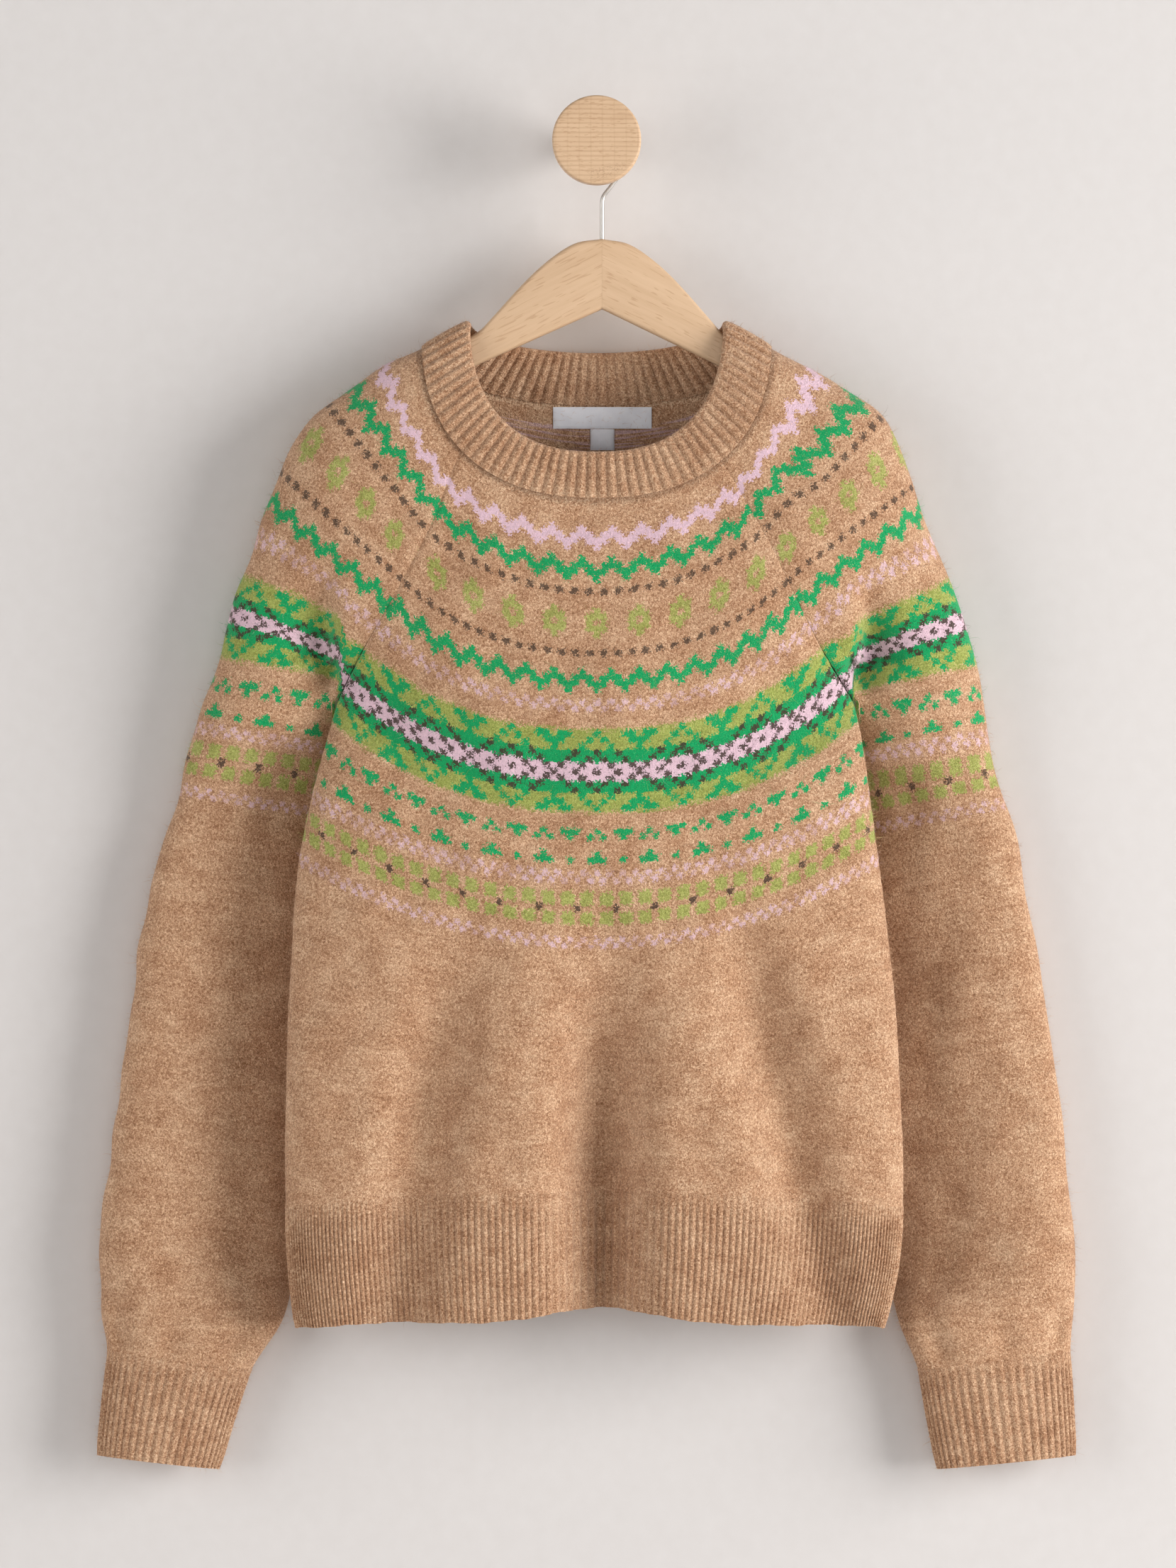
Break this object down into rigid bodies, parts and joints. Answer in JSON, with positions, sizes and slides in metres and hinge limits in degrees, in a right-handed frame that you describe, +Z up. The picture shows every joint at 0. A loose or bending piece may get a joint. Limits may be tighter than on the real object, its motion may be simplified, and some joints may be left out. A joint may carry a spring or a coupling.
{
  "type": "fair isle sweater on a hanger and wall peg",
  "caption": "Raglan crew-neck sweater with a patterned round yoke, ribbed neck, hem and cuffs, hung by a flat wooden hanger on a round wall peg.",
  "frame": {"origin": "centre of the wall peg's flat back end, on the wall", "axes": "+Y into the wall, +X to the right of someone facing the wall, +Z up"},
  "size_m": [0.6276, 0.0881, 0.8755],
  "materials": {
    "knit": "brushed wool knit with a coloured yoke",
    "rib": "brushed wool rib",
    "label": "satin weave, bare",
    "beech": "satin varnish",
    "hook_steel": "polished wire",
    "peg_wood": "matt"
  },
  "bodies": {
    "root": {"front": "knit", "back": "knit", "sleeve_left": "knit", "sleeve_right": "knit", "neckband": "rib", "hem_rib_front": "rib", "hem_rib_back": "rib", "cuff_left": "rib", "cuff_right": "rib", "neck_label": "label", "size_tab": "label", "hanger_wood": "beech", "hook": "hook_steel", "wall_peg": "peg_wood"}
  },
  "joints": []
}
